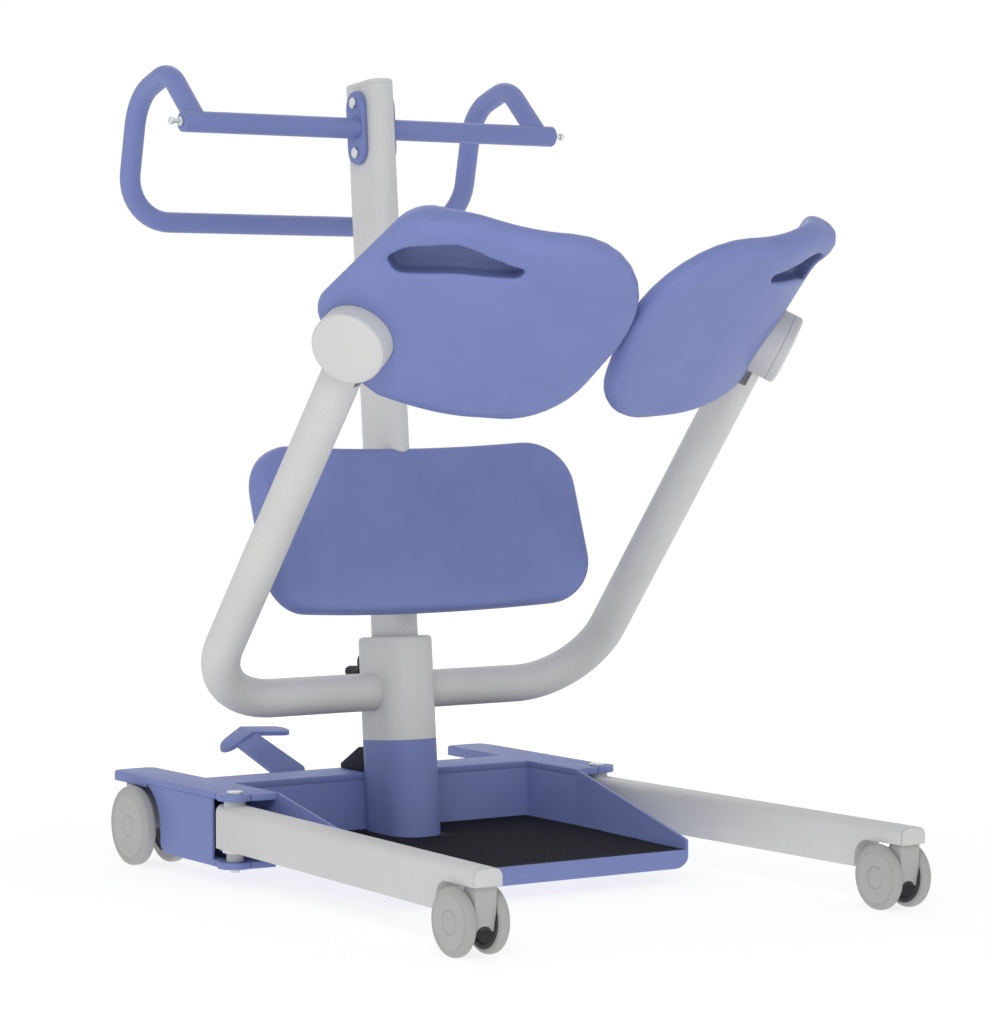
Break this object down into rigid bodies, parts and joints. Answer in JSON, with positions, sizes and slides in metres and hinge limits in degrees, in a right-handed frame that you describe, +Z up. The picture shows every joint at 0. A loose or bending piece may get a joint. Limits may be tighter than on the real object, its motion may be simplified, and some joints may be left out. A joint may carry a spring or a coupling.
{
  "type": "manual stand lift",
  "caption": "Wheeled stand-assist frame: low base with spreading legs, tray footplate, leaning mast with shin pad and looped handlebar, and swing-out seat halves on a bent tube frame.",
  "frame": {"origin": "on the floor, under the middle of the whole lift as it stands with its legs together", "axes": "+Z up; -Y is the open front, where the user steps in; +Y is the carer's side; +X is the user's right"},
  "size_m": [0.7062, 0.9698, 1.0489],
  "materials": {
    "blue_paint": "fine-textured powder coat",
    "blue_pad": "smooth matt moulded skin",
    "grey_paint": "fine-textured powder coat",
    "grey_plastic": "satin",
    "black_plastic": "satin",
    "black_mat": "fine ribs front to back",
    "bright_steel": "bright plated"
  },
  "bodies": {
    "base": {"footplate_tray": "blue_paint", "footplate_mat": "black_mat", "base_top_plate": "blue_paint", "base_bottom_channel": "blue_paint", "left_side_skirt": "blue_paint", "right_side_skirt": "blue_paint", "mast_socket": "blue_paint", "socket_rear_cover": "black_plastic", "left_leg_pivot_pin": "bright_steel", "right_leg_pivot_pin": "bright_steel", "frame_sleeve": "grey_paint", "left_seat_frame_tube": "grey_paint", "right_seat_frame_tube": "grey_paint", "left_seat_hub": "grey_paint", "right_seat_hub": "grey_paint", "left_seat_hub_cap": "grey_paint", "right_seat_hub_cap": "grey_paint", "mast_guide_bush": "black_plastic"},
    "mast": {"mast_tube": "grey_paint", "mast_top_cap": "grey_plastic", "shin_pad": "blue_pad", "shin_pad_bracket": "bright_steel", "left_handlebar_plate": "blue_paint", "right_handlebar_plate": "blue_paint", "left_crossbar": "blue_paint", "right_crossbar": "blue_paint", "handlebar_tube": "blue_paint", "upper_handlebar_bolt": "bright_steel", "lower_handlebar_bolt": "bright_steel", "left_end_stud": "bright_steel", "right_end_stud": "bright_steel"},
    "clamp_knob": {"clamp_knob": "black_plastic"},
    "left_seat": {"left_seat_pad": "blue_pad", "left_seat_pivot_shaft": "bright_steel"},
    "right_seat": {"right_seat_pad": "blue_pad", "right_seat_pivot_shaft": "bright_steel"},
    "left_leg": {"left_leg": "grey_paint", "left_leg_nose_cap": "grey_paint", "left_leg_lever": "bright_steel"},
    "right_leg": {"right_leg": "grey_paint", "right_leg_nose_cap": "grey_paint", "right_leg_lever": "bright_steel"},
    "left_link_rod": {"left_link_rod": "bright_steel"},
    "right_link_rod": {"right_link_rod": "bright_steel"},
    "drive_crank": {"drive_crank": "bright_steel"},
    "foot_pedal": {"foot_pedal": "blue_paint"},
    "left_front_caster": {"left_front_caster_fork": "grey_plastic"},
    "right_front_caster": {"right_front_caster_fork": "grey_plastic"},
    "left_rear_caster": {"left_rear_caster_fork": "grey_plastic"},
    "right_rear_caster": {"right_rear_caster_fork": "grey_plastic"},
    "left_front_outer_wheel": {"left_front_outer_wheel": "grey_plastic"},
    "left_front_inner_wheel": {"left_front_inner_wheel": "grey_plastic"},
    "right_front_outer_wheel": {"right_front_outer_wheel": "grey_plastic"},
    "right_front_inner_wheel": {"right_front_inner_wheel": "grey_plastic"},
    "left_rear_outer_wheel": {"left_rear_outer_wheel": "grey_plastic"},
    "left_rear_inner_wheel": {"left_rear_inner_wheel": "grey_plastic"},
    "right_rear_outer_wheel": {"right_rear_outer_wheel": "grey_plastic"},
    "right_rear_inner_wheel": {"right_rear_inner_wheel": "grey_plastic"}
  },
  "joints": [
    {"name": "mast_height", "type": "slide", "parent": "base", "child": "mast", "axis": [0, 0.0857, 0.9963], "range_m": [0, 0.1]},
    {"name": "clamp_knob_turn", "type": "hinge", "parent": "base", "child": "clamp_knob", "pos_m": [0, 0.27948, 0.24923], "axis": [0, 0.9963, -0.0857], "range_deg": [0, 360]},
    {"name": "left_seat_swing", "type": "hinge", "parent": "base", "child": "left_seat", "pos_m": [-0.29365, -0.187, 0.6948], "axis": [-0.7356, -0.5104, -0.4454], "range_deg": [0, 90]},
    {"name": "right_seat_swing", "type": "hinge", "parent": "base", "child": "right_seat", "pos_m": [0.29365, -0.187, 0.6948], "axis": [-0.7356, 0.5104, 0.4454], "range_deg": [0, 90]},
    {"name": "left_leg_spread", "type": "hinge", "parent": "base", "child": "left_leg", "pos_m": [-0.2785, 0.1473, 0.047], "axis": [0, 0, -1], "range_deg": [0, 14]},
    {"name": "right_leg_spread", "type": "hinge", "parent": "base", "child": "right_leg", "pos_m": [0.2785, 0.1473, 0.047], "axis": [0, 0, 1], "range_deg": [0, 14.05]},
    {"name": "left_rod_travel", "type": "slide", "parent": "base", "child": "left_link_rod", "axis": [1, 0, 0], "range_m": [0, 0.0279]},
    {"name": "right_rod_travel", "type": "slide", "parent": "base", "child": "right_link_rod", "axis": [-1, 0, 0], "range_m": [0, 0.0279]},
    {"name": "crank_turn", "type": "hinge", "parent": "base", "child": "drive_crank", "pos_m": [0, 0.2765, 0.0447], "axis": [0, 0, 1], "range_deg": [0, 72.6]},
    {"name": "pedal_press", "type": "hinge", "parent": "base", "child": "foot_pedal", "pos_m": [-0.0965, 0.326, 0.098], "axis": [-1, 0, 0], "range_deg": [0, 20.1]},
    {"name": "left_front_swivel", "type": "hinge", "parent": "left_leg", "child": "left_front_caster", "pos_m": [-0.3045, -0.469, 0.0815], "axis": [0, 0, 1], "continuous": true},
    {"name": "right_front_swivel", "type": "hinge", "parent": "right_leg", "child": "right_front_caster", "pos_m": [0.3045, -0.469, 0.0815], "axis": [0, 0, 1], "continuous": true},
    {"name": "left_rear_swivel", "type": "hinge", "parent": "base", "child": "left_rear_caster", "pos_m": [-0.2755, 0.4104, 0.109], "axis": [0, 0, 1], "continuous": true},
    {"name": "right_rear_swivel", "type": "hinge", "parent": "base", "child": "right_rear_caster", "pos_m": [0.2755, 0.4104, 0.109], "axis": [0, 0, 1], "continuous": true},
    {"name": "left_front_outer_spin", "type": "hinge", "parent": "left_front_caster", "child": "left_front_outer_wheel", "pos_m": [-0.3136, -0.4446, 0.04], "axis": [1, 0, 0], "continuous": true},
    {"name": "left_front_inner_spin", "type": "hinge", "parent": "left_front_caster", "child": "left_front_inner_wheel", "pos_m": [-0.2954, -0.4446, 0.04], "axis": [1, 0, 0], "continuous": true},
    {"name": "right_front_outer_spin", "type": "hinge", "parent": "right_front_caster", "child": "right_front_outer_wheel", "pos_m": [0.3136, -0.4446, 0.04], "axis": [1, 0, 0], "continuous": true},
    {"name": "right_front_inner_spin", "type": "hinge", "parent": "right_front_caster", "child": "right_front_inner_wheel", "pos_m": [0.2954, -0.4446, 0.04], "axis": [1, 0, 0], "continuous": true},
    {"name": "left_rear_outer_spin", "type": "hinge", "parent": "left_rear_caster", "child": "left_rear_outer_wheel", "pos_m": [-0.2923, 0.3804, 0.052], "axis": [1, 0, 0], "continuous": true},
    {"name": "left_rear_inner_spin", "type": "hinge", "parent": "left_rear_caster", "child": "left_rear_inner_wheel", "pos_m": [-0.2587, 0.3804, 0.052], "axis": [1, 0, 0], "continuous": true},
    {"name": "right_rear_outer_spin", "type": "hinge", "parent": "right_rear_caster", "child": "right_rear_outer_wheel", "pos_m": [0.2923, 0.3804, 0.052], "axis": [1, 0, 0], "continuous": true},
    {"name": "right_rear_inner_spin", "type": "hinge", "parent": "right_rear_caster", "child": "right_rear_inner_wheel", "pos_m": [0.2587, 0.3804, 0.052], "axis": [1, 0, 0], "continuous": true}
  ],
  "couplings": [
    {"joint": "right_leg_spread", "follows": "left_leg_spread", "ratio": 1},
    {"joint": "left_rod_travel", "follows": "left_leg_spread", "m_per_rad": 0.1139},
    {"joint": "right_rod_travel", "follows": "left_leg_spread", "m_per_rad": 0.1139},
    {"joint": "crank_turn", "follows": "left_leg_spread", "ratio": 5.1724},
    {"joint": "pedal_press", "follows": "left_leg_spread", "ratio": 1.4286}
  ]
}
